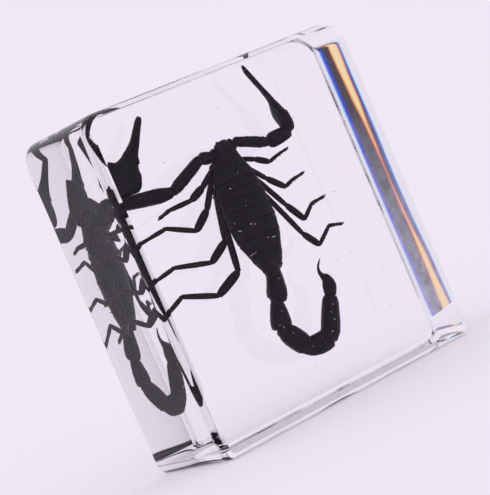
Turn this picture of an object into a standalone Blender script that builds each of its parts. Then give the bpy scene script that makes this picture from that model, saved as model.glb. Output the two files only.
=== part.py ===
"""A dried scorpion sealed in a clear cast resin block that stands on its bottom face.

Frame: metres, +Z up, origin at the middle of the block's bottom. The block's width runs along X
and its thickness along Y. Its front face looks towards -Y, and the scorpion's back faces it.
The clear solid is parted in two along a plane through the scorpion's body, as if it had been
poured in two goes, and each half holds its side of the pocket in which the scorpion lies.
"""
from math import cos, pi, radians, sin, sqrt

import bmesh
import bpy
from mathutils import Vector

MM = 0.001

# The block
BLOCK_WIDTH = 71.1 * MM
BLOCK_THICKNESS = 28.2 * MM
BLOCK_HEIGHT = 75 * MM
BACK_EDGE_RADIUS = 1.2 * MM
FRONT_ARC_DEPTH = 3.1 * MM  # the sides round in towards the front face, and meet it in a crease
FRONT_INSET = 1.2 * MM
TOP_RIGHT_RADIUS = 5.5 * MM  # this corner was ground off more than the others
TOP_LEFT_RADIUS = 4.5 * MM
CORNER_RADIUS = 2.5 * MM
PARTING_Y = 4.3 * MM  # the plane between the two halves
PARTING_GAP = 0.3 * MM
POCKET_CLEARANCE = 0.35 * MM

# The scorpion's body, seen from the front: its middle line, and its back turned a little to the left
BODY_ROLL = radians(-5)
NECK_Z = 58.3  # front edge of the head shield, mm
WAIST_Z = 50.6  # rear edge of the head shield
BODY_END_Z = 30.4  # where the tail starts
BODY_X_AT_NECK = 0.9
BODY_X_AT_END = -0.15
BODY_Y_AT_NECK = 5.6
BODY_Y_AT_END = 2.5
BODY_CURVE = 0.6  # below 1, the line leaves the tail end steeply and runs flat to the neck
# Rings of the head shield, and each back plate's rear edge: z, width, thickness
HEAD_SHIELD = ((58.3, 5.2, 3.4), (57.2, 6.4, 4.8), (54.0, 8.7, 6.4), (50.9, 10.7, 7.4))
BACK_PLATES = (
    (48.9, 11.2, 7.8),
    (46.8, 11.8, 8.1),
    (44.2, 12.4, 8.4),
    (41.2, 12.4, 8.4),
    (37.8, 10.7, 7.7),
    (34.2, 8.0, 6.5),
    (30.6, 4.9, 4.4),
)
PLATE_STEP = 0.955  # a plate is this much narrower where it slips under the one before it
PLATE_LAP = 0.25

# The tail: each segment's start, middle and end, and its width at the start and at its widest, mm
TAIL_SEGMENTS = (
    ((-0.6, 2.4, 30.6), (-1.9, 1.9, 26.4), (-3.1, 1.9, 24.1), (3.6, 4.7)),
    ((-3.1, 1.9, 24.1), (-3.8, 2.3, 20.6), (-4.3, 2.6, 18.0), (3.0, 4.8)),
    ((-4.3, 2.6, 18.0), (-2.1, 3.1, 15.4), (0.3, 3.8, 12.5), (3.4, 4.8)),
    ((0.3, 3.8, 12.5), (3.8, 4.1, 11.8), (7.1, 4.4, 12.1), (3.8, 4.7)),
    ((7.1, 4.4, 12.1), (9.2, 4.6, 15.5), (11.6, 4.7, 20.2), (4.1, 4.6)),
)
TAIL_FLATTENING = 0.92
VESICLE = (((12.0, 4.7, 21.0), 3.1), ((12.3, 4.6, 22.2), 3.3), ((12.1, 4.5, 23.7), 2.4))
STING = (
    ((11.4, 4.4, 24.7), 1.1),
    ((11.2, 4.3, 25.8), 0.7),
    ((11.5, 4.2, 26.8), 0.5),
    ((12.6, 3.9, 28.1), 0.3),
)

# The arms, up to the wrist: joints and the width of each part between two joints, mm
RIGHT_ARM = ((1.2, 5.6, 57.2), (4.2, 4.9, 58.8), (11.9, 3.2, 55.8), (18.7, 4.4, 56.2))
LEFT_ARM = ((0.2, 5.8, 57.0), (-5.2, 5.5, 58.2), (-14.7, 5.9, 54.0), (-29.5, 7.5, 56.2))
RIGHT_ARM_WIDTHS = (2.6, 2.2, 3.4)
LEFT_ARM_WIDTHS = (2.6, 2.5, 3.0)
# The pincers: centre, breadth, thickness, mm. A pincer is broad and flat, and it is closed.
LEFT_PINCER = (
    ((-30.1, 7.5, 56.8), 3.0, 2.4),
    ((-27.5, 7.4, 59.2), 5.4, 3.2),
    ((-25.3, 7.3, 60.4), 7.7, 3.4),
    ((-23.5, 7.2, 61.3), 8.8, 3.4),
    ((-21.9, 7.1, 62.2), 7.3, 3.2),
    ((-20.9, 7.1, 63.2), 5.0, 2.9),
    ((-20.3, 7.2, 64.3), 3.4, 2.5),
    ((-18.2, 7.6, 66.5), 2.2, 2.0),
    ((-15.8, 8.4, 69.3), 1.7, 1.5),
    ((-13.9, 9.0, 71.0), 0.8, 0.8),
)
RIGHT_PINCER = (
    ((18.8, 4.4, 56.0), 3.0, 2.6),
    ((19.1, 4.6, 57.4), 4.8, 3.0),
    ((19.0, 4.8, 59.1), 6.7, 2.8),
    ((18.7, 5.0, 60.6), 7.5, 2.5),
    ((18.4, 4.8, 61.8), 6.5, 2.0),
    ((18.0, 4.5, 63.0), 4.5, 1.6),
    ((17.5, 4.3, 64.2), 3.0, 1.2),
    ((16.5, 4.1, 66.5), 2.2, 1.1),
    ((15.1, 4.0, 69.6), 1.9, 1.3),
    ((14.2, 4.0, 71.9), 1.6, 1.2),
    ((14.0, 4.1, 73.2), 0.8, 0.8),
)

# The legs: joints from the breast to the claw, mm, and how stout each is
LEGS = {
    "right_1": (((1.3, 6.6, 55.8), (4.4, 5.6, 54.8), (7.5, 5.0, 53.6), (10.5, 4.0, 51.8),
                 (13.0, 3.5, 52.5), (15.6, 3.0, 52.9)), 0.75),
    "right_2": (((1.3, 6.9, 54.0), (5.0, 5.9, 52.8), (8.0, 4.2, 48.8), (11.3, 3.0, 45.5),
                 (13.6, 2.5, 46.3), (16.6, 2.0, 46.7)), 0.8),
    "right_3": (((1.3, 7.0, 52.3), (5.8, 6.0, 50.3), (9.6, 3.2, 41.9), (12.4, 2.5, 37.4),
                 (15.4, 1.7, 39.9), (18.8, 1.0, 40.2)), 0.85),
    "right_4": (((1.3, 7.0, 50.7), (6.2, 5.8, 46.7), (10.7, 3.2, 34.7), (13.6, 3.0, 31.0),
                 (17.2, 1.3, 34.0), (20.0, 0.0, 33.2)), 0.85),
    "left_1": (((-0.5, 6.6, 55.8), (-3.2, 6.5, 54.9), (-6.8, 7.0, 52.5), (-10.5, 7.5, 50.9),
                (-16.4, 8.0, 50.8), (-19.4, 8.0, 50.1)), 0.95),
    "left_2": (((-0.5, 6.9, 54.0), (-3.8, 7.8, 52.9), (-7.6, 8.3, 47.7), (-12.2, 8.0, 44.6),
                (-18.4, 9.5, 47.6), (-27.0, 11.0, 46.6)), 1.0),
    "left_3": (((-0.5, 7.0, 52.3), (-4.4, 7.5, 49.7), (-6.6, 7.9, 40.1), (-12.0, 7.5, 37.2),
                (-20.4, 9.2, 39.4), (-29.0, 11.0, 37.8)), 1.0),
    "left_4": (((-0.5, 7.0, 50.7), (-4.8, 7.3, 46.9), (-6.8, 7.4, 33.1), (-13.0, 9.3, 30.2),
                (-21.0, 10.5, 33.2), (-29.5, 11.4, 29.6)), 1.1),
}
LEG_WIDTHS = (2.0, 1.6, 2.0, 1.25, 1.0)  # coxa, femur, patella, tibia, foot
LEG_FLATTENING = 0.85
ARM_FLATTENING = 0.9
JOINT_PINCH = 0.72  # a limb's part is this much narrower at its ends
LIMB_SWELL = ((0.28, 0.96), (0.72, 1.0))  # share of a part's length, share of its width
FOOT_TAPER = 0.5
# A tail segment: share of its length, and of its width at the start or at its widest
SEGMENT_START = ((-0.1, 0.9), (0.06, 1.05))
SEGMENT_SWELL = ((0.25, 0.93), (0.55, 1.0), (0.86, 0.95), (0.97, 0.76))
SEGMENT_MIDDLE = 0.55
STING_NECK = (2.3, 2.2)
VESICLE_FLATTENING = 0.95
TIP_LENGTH = 0.3  # how far a loft's end runs out to its point, as a share of the last ring's thickness

# Mouth pincers and the two combs under the body: middle line points, mm, breadth and thickness
MOUTH_PINCERS = (
    (((0.0, 5.0, 57.2), 2.6, 2.6), ((-0.1, 4.8, 58.8), 2.6, 2.6), ((0.1, 4.7, 59.7), 1.8, 1.6)),
    (((1.8, 5.0, 57.0), 2.6, 2.6), ((1.7, 4.8, 58.7), 2.6, 2.6), ((1.5, 4.7, 59.6), 1.8, 1.6)),
)
COMBS = (
    (((-0.4, 7.0, 49.4), 1.6, 0.8), ((-2.4, 7.4, 47.8), 1.8, 0.8), ((-4.6, 7.6, 46.6), 1.0, 0.7)),
    (((1.3, 7.0, 49.4), 1.6, 0.8), ((3.2, 7.4, 47.8), 1.8, 0.8), ((5.4, 7.6, 46.6), 1.0, 0.7)),
)

# How many sides each form has
ANIMAL_SIDES = {"body": 18, "tail": 12, "pincer": 10, "arm": 8, "leg": 7}
POCKET_SIDES = {"body": 10, "tail": 8, "pincer": 8, "arm": 6, "leg": 5}
CORNER_STEPS = 6
EDGE_STEPS = 3

BACK_DIRECTION = Vector((sin(BODY_ROLL), -cos(BODY_ROLL), 0))  # where the scorpion's back faces
FLAT_TO_FRONT = Vector((0, -1, 0))
FLAT_TO_SIDE = Vector((1, 0, 0))


def clear_scene():
    for old in list(bpy.data.objects):
        bpy.data.objects.remove(old, do_unlink=True)


def new_collection(name):
    collection = bpy.data.collections.new(name)
    bpy.context.scene.collection.children.link(collection)
    return collection


def new_material(name, colour, roughness, alpha=1.0):
    material = bpy.data.materials.new(name)
    material.use_nodes = True
    shader = material.node_tree.nodes["Principled BSDF"]
    shader.inputs["Base Color"].default_value = (*colour, 1)
    shader.inputs["Roughness"].default_value = roughness
    shader.inputs["Metallic"].default_value = 0
    shader.inputs["Alpha"].default_value = alpha
    return material


def new_object(name, mesh, collection):
    made = bpy.data.objects.new(name, mesh)
    collection.objects.link(made)
    return made


def ring_frame(points, i):
    """Direction of the path at a station, and how far a bend there stretches its ring, and which way."""
    before = (points[i] - points[i - 1]).normalized() if i > 0 else None
    after = (points[i + 1] - points[i]).normalized() if i < len(points) - 1 else None
    if before is None or after is None:
        return (before or after), Vector(), 0
    along = (before + after).normalized()
    bend = after - before
    if bend.length < 0.01:
        return along, Vector(), 0
    return along, bend.normalized(), min(1 / max(along.dot(before), 0.3), 1.5) - 1


def loft(name, stations, sides, flat_to, grow, collection):
    """A closed solid through oval rings. A station is a centre, a breadth and a thickness, all in mm."""
    points = [Vector(centre) * MM for centre, _, _ in stations]
    first = (points[0] - points[1]).normalized()
    last = (points[-1] - points[-2]).normalized()
    points[0] += first * grow
    points[-1] += last * grow
    outset = 1 / cos(pi / sides) if grow else 1  # a pocket's flat sides stay outside the round form
    shape = bmesh.new()
    rings = []
    for i, (_, breadth, thickness) in enumerate(stations):
        along, bend, stretch = ring_frame(points, i)
        across = along.cross(flat_to).normalized()
        out = across.cross(along).normalized()
        ring = []
        for k in range(sides):
            turn = 2 * pi * (k + 0.5) / sides
            spoke = across * cos(turn) * (breadth * MM / 2 + grow)
            spoke += out * sin(turn) * (thickness * MM / 2 + grow)
            spoke *= outset
            spoke += bend * spoke.dot(bend) * stretch
            ring.append(shape.verts.new(points[i] + spoke))
        rings.append(ring)
    for near, far in zip(rings, rings[1:]):
        for k in range(sides):
            n = (k + 1) % sides
            shape.faces.new((near[k], near[n], far[n], far[k]))
    for i, way in ((0, first), (-1, last)):
        ring = rings[i]
        pole = shape.verts.new(points[i] + way * min(stations[i][1:]) * MM * TIP_LENGTH)
        for k in range(sides):
            shape.faces.new((ring[k], ring[(k + 1) % sides], pole))
    bmesh.ops.recalc_face_normals(shape, faces=shape.faces)
    mesh = bpy.data.meshes.new(name)
    shape.to_mesh(mesh)
    shape.free()
    return new_object(name, mesh, collection)


def body_middle(z):
    """The body's middle line at a height: it leans a little, and its tail end lies nearer the front."""
    share = (z - BODY_END_Z) / (NECK_Z - BODY_END_Z)
    x = BODY_X_AT_END + (BODY_X_AT_NECK - BODY_X_AT_END) * share
    y = BODY_Y_AT_END + (BODY_Y_AT_NECK - BODY_Y_AT_END) * share ** BODY_CURVE
    return (x, y, z)


def body_stations():
    stations = [(body_middle(z), width, thickness) for z, width, thickness in HEAD_SHIELD]
    start = (WAIST_Z, HEAD_SHIELD[-1][1], HEAD_SHIELD[-1][2])
    for plate in BACK_PLATES:
        front_z = start[0] - PLATE_LAP
        stations.append((body_middle(front_z), start[1] * PLATE_STEP, start[2] * PLATE_STEP))
        stations.append((body_middle(plate[0]), plate[1], plate[2]))
        start = plate
    return stations


def through(start, middle, end, share):
    """A point on the smooth curve that runs through three points."""
    a, b, c = Vector(start), Vector(middle), Vector(end)
    m = SEGMENT_MIDDLE
    at_start = (share - m) * (share - 1) / m
    at_middle = share * (share - 1) / (m * (m - 1))
    at_end = share * (share - m) / (1 - m)
    return a * at_start + b * at_middle + c * at_end


def tail_segment_stations(start, middle, end, front, widest):
    """A segment is narrow in front, where it plugs into the one before it, and ends in a blunt rim."""
    widths = [(share, front * part) for share, part in SEGMENT_START]
    widths += [(share, widest * part) for share, part in SEGMENT_SWELL]
    stations = []
    for share, width in widths:
        stations.append((tuple(through(start, middle, end, share)), width, width * TAIL_FLATTENING))
    return stations


def sting_stations():
    stations = [(TAIL_SEGMENTS[-1][2], *STING_NECK)]
    stations += [(centre, width, width * VESICLE_FLATTENING) for centre, width in VESICLE]
    stations += [(centre, width, width) for centre, width in STING]
    return stations


def limb_stations(joints, widths, flattening):
    """Each part of a limb swells between its two joints."""
    stations = []
    for i, (start, end, width) in enumerate(zip(joints, joints[1:], widths)):
        a, b = Vector(start), Vector(end)
        joint = JOINT_PINCH * (width + widths[max(i - 1, 0)]) / 2
        for share, here in ((0, joint),) + tuple((share, width * part) for share, part in LIMB_SWELL):
            stations.append((tuple(a.lerp(b, share)), here, here * flattening))
    foot = widths[-1] * FOOT_TAPER
    stations.append((joints[-1], foot, foot * flattening))
    return stations


def plain_limb_stations(joints, widths, flattening):
    """The hollow round a limb has one ring at each joint."""
    padded = (widths[0],) + tuple(widths) + (widths[-1],)
    at_joints = [max(pair) for pair in zip(padded, padded[1:])]
    return [(joint, width, width * flattening) for joint, width in zip(joints, at_joints)]


def unite(name, forms, collection):
    """Joins forms in one mesh with exact unions, and removes them."""
    base = forms[0]
    for other in forms[1:]:
        join = base.modifiers.new("join", "BOOLEAN")
        join.operation = "UNION"
        join.solver = "EXACT"
        join.object = other
    bpy.context.view_layer.update()
    mesh = bpy.data.meshes.new_from_object(base.evaluated_get(bpy.context.evaluated_depsgraph_get()))
    for form in forms:
        bpy.data.objects.remove(form, do_unlink=True)
    mesh.name = name
    return new_object(name, mesh, collection)


def animal(name, sides, grow, collection):
    """The whole scorpion as one solid; with grow it is the hollow that the resin leaves round it."""
    limb = plain_limb_stations if grow else limb_stations
    forms = [
        loft("body", body_stations(), sides["body"], BACK_DIRECTION, grow, collection),
        loft("sting", sting_stations(), sides["arm"], FLAT_TO_FRONT, grow, collection),
    ]
    for start, middle, end, (front, widest) in TAIL_SEGMENTS:
        stations = tail_segment_stations(start, middle, end, front, widest)
        forms.append(loft("tail_segment", stations, sides["tail"], FLAT_TO_FRONT, grow, collection))
    for arm, widths in ((RIGHT_ARM, RIGHT_ARM_WIDTHS), (LEFT_ARM, LEFT_ARM_WIDTHS)):
        stations = limb(arm, widths, ARM_FLATTENING)
        forms.append(loft("arm", stations, sides["arm"], FLAT_TO_FRONT, grow, collection))
    forms.append(loft("pincer", LEFT_PINCER, sides["pincer"], FLAT_TO_FRONT, grow, collection))
    forms.append(loft("pincer", RIGHT_PINCER, sides["pincer"], FLAT_TO_SIDE, grow, collection))
    for joints, stoutness in LEGS.values():
        widths = [width * stoutness for width in LEG_WIDTHS]
        stations = limb(joints, widths, LEG_FLATTENING)
        forms.append(loft("leg", stations, sides["leg"], FLAT_TO_FRONT, grow, collection))
    for stations in MOUTH_PINCERS + COMBS:
        forms.append(loft("small", stations, sides["arm"], FLAT_TO_FRONT, grow, collection))
    return unite(name, forms, collection)


def block_outline(inset):
    """The block seen from the front, with each corner an arc, drawn in by an inset."""
    half, height = BLOCK_WIDTH / 2, BLOCK_HEIGHT
    corners = (
        (half, 0, CORNER_RADIUS, -90),
        (half, height, TOP_RIGHT_RADIUS, 0),
        (-half, height, TOP_LEFT_RADIUS, 90),
        (-half, 0, CORNER_RADIUS, 180),
    )
    outline = []
    for x, z, radius, start in corners:
        centre_x = x - radius if x > 0 else x + radius
        centre_z = z - radius if z > 0 else z + radius
        for step in range(CORNER_STEPS + 1):
            turn = radians(start + 90 * step / CORNER_STEPS)
            spoke = radius - inset
            outline.append((centre_x + spoke * cos(turn), centre_z + spoke * sin(turn)))
    return outline


def front_rounding():
    """Depth and inset of each outline from the front face inwards: the sides round in along one arc."""
    radius = (FRONT_ARC_DEPTH ** 2 + FRONT_INSET ** 2) / (2 * FRONT_INSET)
    depths = [FRONT_ARC_DEPTH * step / EDGE_STEPS for step in range(EDGE_STEPS + 1)]
    return [(depth, radius - sqrt(radius ** 2 - (FRONT_ARC_DEPTH - depth) ** 2)) for depth in depths]


def back_rounding():
    """The same for the back face, whose edges are quarter rounds."""
    turns = [radians(90 * step / EDGE_STEPS) for step in range(EDGE_STEPS + 1)]
    return [(BACK_EDGE_RADIUS * (1 - cos(turn)), BACK_EDGE_RADIUS * (1 - sin(turn))) for turn in turns]


def block_half(name, outer_y, inner_y, rounding, collection):
    """A slab from an outer face to the parting plane, lofted through outlines that round its outer edge."""
    inwards = 1 if inner_y > outer_y else -1
    levels = [(outer_y + inwards * depth, inset) for depth, inset in rounding] + [(inner_y, 0)]
    shape = bmesh.new()
    rings = []
    for y, inset in levels:
        rings.append([shape.verts.new((x, y, z)) for x, z in block_outline(inset)])
    for near, far in zip(rings, rings[1:]):
        for k, vert in enumerate(near):
            n = (k + 1) % len(near)
            shape.faces.new((vert, near[n], far[n], far[k]))
    shape.faces.new(rings[0])
    shape.faces.new(rings[-1])
    bmesh.ops.recalc_face_normals(shape, faces=shape.faces)
    mesh = bpy.data.meshes.new(name)
    shape.to_mesh(mesh)
    shape.free()
    return new_object(name, mesh, collection)


def cut_pocket(half, pocket):
    """Cuts the hollow, and keeps the cast without the loose chips that legs close off between them."""
    cut = half.modifiers.new("pocket", "BOOLEAN")
    cut.operation = "DIFFERENCE"
    cut.solver = "EXACT"
    cut.use_self = True
    cut.object = pocket
    bpy.context.view_layer.update()
    mesh = bpy.data.meshes.new_from_object(half.evaluated_get(bpy.context.evaluated_depsgraph_get()))
    half.modifiers.remove(cut)
    half.data = mesh
    shape = bmesh.new()
    shape.from_mesh(mesh)
    cast = set()
    reached = [max(shape.verts, key=lambda vert: vert.co.x)]
    while reached:
        vert = reached.pop()
        if vert not in cast:
            cast.add(vert)
            reached += [edge.other_vert(vert) for edge in vert.link_edges]
    bmesh.ops.delete(shape, geom=[vert for vert in shape.verts if vert not in cast], context="VERTS")
    shape.to_mesh(mesh)
    shape.free()


clear_scene()
parts = new_collection("scorpion_in_resin_block")
cutters = new_collection("cutters")

chitin = new_material("dark_chitin", (0.012, 0.011, 0.013), 0.45)
resin = new_material("clear_resin", (0.93, 0.93, 0.96), 0.05, alpha=0.35)

scorpion = animal("scorpion", ANIMAL_SIDES, 0, parts)
scorpion.data.materials.clear()
scorpion.data.materials.append(chitin)

pocket = animal("pocket", POCKET_SIDES, POCKET_CLEARANCE, cutters)
pocket.hide_render = True
pocket.display_type = "WIRE"

front_y, back_y = -BLOCK_THICKNESS / 2, BLOCK_THICKNESS / 2
seam_front, seam_back = PARTING_Y - PARTING_GAP / 2, PARTING_Y + PARTING_GAP / 2
front = block_half("resin_front_half", front_y, seam_front, front_rounding(), parts)
back = block_half("resin_back_half", back_y, seam_back, back_rounding(), parts)
for half in (front, back):
    half.data.materials.append(resin)
    cut_pocket(half, pocket)
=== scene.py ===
from math import cos, pi, radians, sin, sqrt

import bmesh
import bpy
import numpy as np
from mathutils import Matrix, Vector, noise


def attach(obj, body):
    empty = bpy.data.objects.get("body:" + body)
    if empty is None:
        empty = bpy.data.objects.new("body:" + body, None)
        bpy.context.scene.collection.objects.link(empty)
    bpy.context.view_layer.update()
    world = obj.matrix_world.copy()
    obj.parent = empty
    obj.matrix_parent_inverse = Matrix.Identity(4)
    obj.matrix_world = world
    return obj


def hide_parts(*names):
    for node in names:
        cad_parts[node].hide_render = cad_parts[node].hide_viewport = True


# A dried scorpion in a clear cast resin block, in a plain pale studio. The tables' lengths are in
# millimetres in the block's own frame: +Z is up, and the front face looks towards -Y.
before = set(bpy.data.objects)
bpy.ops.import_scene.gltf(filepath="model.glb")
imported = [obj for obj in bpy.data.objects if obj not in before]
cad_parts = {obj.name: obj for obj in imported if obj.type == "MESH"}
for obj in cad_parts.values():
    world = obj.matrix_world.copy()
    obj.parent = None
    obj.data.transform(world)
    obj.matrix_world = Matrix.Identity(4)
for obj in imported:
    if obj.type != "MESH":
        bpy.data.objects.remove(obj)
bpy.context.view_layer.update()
MM = 0.001

# ---- Camera -------------------------------------------------------------------------------------
# A long lens a little above the floor, rolled, and turned far enough round the block's left front
# edge to see its left face beside the front face.
camera_data = bpy.data.cameras.new("camera")
camera_data.lens = 147.42
camera_data.sensor_width = 36
camera_data.clip_end = 30
camera = bpy.data.objects.new("camera", camera_data)
camera.matrix_world = Matrix((
    (0.7474021, 0.3477764, -0.5660756, -0.2472308),
    (-0.5339556, -0.1925577, -0.8232939, -0.3568104),
    (-0.3953244, 0.9175909, 0.0417792, 0.0551757),
    (0, 0, 0, 1),
))
bpy.context.scene.collection.objects.link(camera)
bpy.context.scene.camera = camera

# ---- Head shield and back plates ----------------------------------------------------------------
# The animal's armour is dried chitin: a head shield with a furrow and eyes, then seven back plates
# that overlap like roof tiles, each with a raised rear rim. Its surface is finely grained.
NECK_Z, TAIL_Z = 58.3, 30.4
MIDDLE_AT_TAIL = (-0.15, 2.5)  # x and y of the body's middle line
NECK_BEYOND = (1.05, 3.1)  # how much further right and back it lies at the neck
BACK_WAY = Vector((sin(radians(-5)), -cos(radians(-5)), 0))  # the back is turned a little to the left
HEAD_SHIELD = (  # height, breadth and thickness of the body, down to the shield's rear edge
    (58.3, 5.0, 3.4), (57.2, 6.2, 4.8), (55.6, 7.2, 5.7), (54.0, 8.4, 6.4), (52.3, 9.8, 7.0),
    (50.7, 10.8, 7.5))
BACK_PLATES = (  # the same at the rear rim of each plate
    (48.9, 11.3, 7.8), (46.8, 11.9, 8.1), (44.2, 12.1, 8.4), (41.2, 12.0, 8.4), (37.8, 10.9, 7.7),
    (34.2, 8.2, 6.5), (30.5, 5.0, 4.4))
GRAIN_REACH = 0.62  # how far a grain reaches from its middle, as a share of the grain size
OPEN_POLE = 0.004  # the square of the width that a rounded end keeps at its pole


def body_middle(z):
    """The body's middle line: it leans a little, and its tail end lies nearer the front."""
    share = max((z - TAIL_Z) / (NECK_Z - TAIL_Z), 0)
    return Vector((MIDDLE_AT_TAIL[0] + NECK_BEYOND[0] * share,
                   MIDDLE_AT_TAIL[1] + NECK_BEYOND[1] * share ** 0.6, z))


def along_curve(stations, gap):
    """Rows at even steps on the smooth curve through the stations; a row is a place, breadth, thickness."""
    rows = np.array([(*centre, breadth, thickness) for centre, breadth, thickness in stations], float)
    reach = np.concatenate(([0], np.cumsum(np.linalg.norm(np.diff(rows[:, :3], axis=0), axis=1))))
    slopes = np.gradient(rows, reach, axis=0)
    steps = np.linspace(0, reach[-1], max(4, int(reach[-1] / gap) + 1))
    i = np.clip(np.searchsorted(reach, steps, side="right") - 1, 0, len(reach) - 2)
    span = (reach[i + 1] - reach[i])[:, None]
    t = (steps[:, None] - reach[i][:, None]) / span
    start = (2 * t ** 3 - 3 * t ** 2 + 1) * rows[i] + (t ** 3 - 2 * t ** 2 + t) * span * slopes[i]
    return start + (3 * t ** 2 - 2 * t ** 3) * rows[i + 1] + (t ** 3 - t ** 2) * span * slopes[i + 1], steps


def grained(point, size):
    """0 between the grains of the armour, up to 1 on top of one."""
    near = noise.voronoi(point / size)[0][0]
    return max(0.0, 1 - near / GRAIN_REACH)


def rounded_end(step, cap):
    """How wide a form is at this distance from its end, where the last cap millimetres are rounded."""
    return sqrt(max(1 - (1 - step / cap) ** 2, OPEN_POLE)) if step < cap else 1.0


class Armour:
    """Collects closed forms of one piece: their points, faces, and how brown each point is."""

    def __init__(self):
        self.points, self.faces, self.brown = [], [], []

    def form(self, stations, flat_to, sides=40, gap=0.16, caps=(0.6, 0.6), square=2.1, relief=None,
             grain=0.05, grain_size=0.42, brown=(0.0, 0.0, 0.0)):
        """A closed form through the stations; brown is how brown it is at its start, middle and end."""
        rows, steps = along_curve(stations, gap)
        length = steps[-1]
        tangent = np.gradient(rows[:, :3], axis=0)
        tangent /= np.linalg.norm(tangent, axis=1)[:, None]
        across = np.cross(tangent, np.array(flat_to))
        across /= np.linalg.norm(across, axis=1)[:, None]
        out = np.cross(across, tangent)
        turn = 2 * pi * (np.arange(sides) + 0.5) / sides
        bulge = (np.abs(np.cos(turn)) ** square + np.abs(np.sin(turn)) ** square) ** (-1 / square)
        first = len(self.points)
        for row, step, a, o in zip(rows, steps, across, out):
            taper = min(rounded_end(step, caps[0]), rounded_end(length - step, caps[1]))
            share = step / length
            hue = brown[0] * (1 - share) ** 3 + brown[1] * 4 * share * (1 - share) + brown[2] * share ** 3
            for angle, wide in zip(turn, bulge):
                spoke = a * cos(angle) * row[3] / 2 + o * sin(angle) * row[4] / 2
                point = Vector(row[:3] + spoke * wide * taper)
                raised = relief(share, angle, step, length) if relief else 0.0
                if grain:
                    raised += grain * grained(point, grain_size) * min(taper, 1)
                way = Vector(spoke).normalized()
                self.points.append((point + way * raised * taper) * MM)
                self.brown.append(min(max(hue + 0.15 * noise.noise(point * 1.3), 0), 1))
        count = len(rows)
        for r in range(count - 1):
            for k in range(sides):
                n = (k + 1) % sides
                near, far = first + r * sides, first + (r + 1) * sides
                self.faces.append((near + k, near + n, far + n, far + k))
        for ring in (0, count - 1):
            base = first + ring * sides
            pole = len(self.points)
            self.points.append(sum((self.points[base + k] for k in range(sides)), Vector()) / sides)
            self.brown.append(self.brown[base])
            for k in range(sides):
                self.faces.append((base + k, base + (k + 1) % sides, pole))

    def piece(self, name, material):
        """All the forms as one mesh with one material."""
        mesh = bpy.data.meshes.new(name)
        mesh.from_pydata([tuple(point) for point in self.points], [], self.faces)
        shape = bmesh.new()
        shape.from_mesh(mesh)
        bmesh.ops.recalc_face_normals(shape, faces=shape.faces)
        shape.to_mesh(mesh)
        shape.free()
        brown = mesh.attributes.new("brown", "FLOAT", "POINT")
        brown.data.foreach_set("value", np.array(self.brown, np.float32))
        mesh.polygons.foreach_set("use_smooth", [True] * len(mesh.polygons))
        mesh.materials.append(material)
        return carried(bpy.data.objects.new(name, mesh))


def carried(made, nodes=("scorpion",)):
    """A finished piece: it rides on the block and stands for its CAD nodes, which it hides."""
    bpy.context.scene.collection.objects.link(made)
    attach(made, "root")
    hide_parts(*nodes)
    return made


def dialled(node, settings):
    """The node, with its sockets set to these values."""
    for label, value in settings.items():
        node.inputs[label].default_value = value
    return node


def chitin_finish(name, dark, light, tan, grain_scale, smoothest):
    """Dried chitin: clouded dark to light, tan where it is brown, finely pitted, and of uneven gloss."""
    finish = bpy.data.materials.new(name)
    finish.use_nodes = True
    tree = finish.node_tree
    shader = dialled(tree.nodes["Principled BSDF"], {"Specular IOR Level": 0.12, "IOR": 1.55})
    place = tree.nodes.new("ShaderNodeTexCoord")
    cloud = dialled(tree.nodes.new("ShaderNodeTexNoise"), {"Scale": 420, "Detail": 6})
    pits = dialled(tree.nodes.new("ShaderNodeTexVoronoi"), {"Scale": grain_scale})
    worn = tree.nodes.new("ShaderNodeAttribute")
    worn.attribute_name = "brown"
    shade = tree.nodes.new("ShaderNodeMix")
    shade.data_type = "RGBA"
    dialled(shade, {"A": (*dark, 1), "B": (*light, 1)})
    stain = tree.nodes.new("ShaderNodeMix")
    stain.data_type = "RGBA"
    dialled(stain, {"B": (*tan, 1)})
    polish = dialled(tree.nodes.new("ShaderNodeMapRange"), {"To Min": smoothest, "To Max": smoothest + 0.25})
    bump = dialled(tree.nodes.new("ShaderNodeBump"), {"Strength": 0.6, "Distance": 0.00006})
    for source, target in (
        (place.outputs["Object"], cloud.inputs["Vector"]),
        (place.outputs["Object"], pits.inputs["Vector"]),
        (cloud.outputs["Fac"], shade.inputs["Factor"]),
        (shade.outputs["Result"], stain.inputs["A"]),
        (worn.outputs["Fac"], stain.inputs["Factor"]),
        (stain.outputs["Result"], shader.inputs["Base Color"]),
        (cloud.outputs["Fac"], polish.inputs["Value"]),
        (polish.outputs["Result"], shader.inputs["Roughness"]),
        (pits.outputs["Distance"], bump.inputs["Height"]),
        (bump.outputs["Normal"], shader.inputs["Normal"]),
    ):
        tree.links.new(source, target)
    return finish


armour_black = chitin_finish("armour_black", (0.0010, 0.0010, 0.0013), (0.0075, 0.0068, 0.0072),
                             (0.050, 0.026, 0.014), 3600, 0.32)


def shield_relief(share, angle, step, length):
    """Median furrow, an eye mound two fifths back, a furrow along each side and a rim all round."""
    side = cos(angle)
    back = max(sin(angle), 0)
    furrow = -0.28 * np.exp(-(side / 0.07) ** 2) * (0.4 + 0.6 * share)
    mound = 0.42 * np.exp(-((share - 0.38) / 0.10) ** 2 - (side / 0.2) ** 2)
    flanks = -0.16 * np.exp(-((abs(side) - 0.5) / 0.09) ** 2) * sin(pi * share)
    edge = 0.14 * np.exp(-((sin(angle) - 0.05) / 0.10) ** 2)
    return float(back * (furrow + mound + flanks) + edge)


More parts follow.
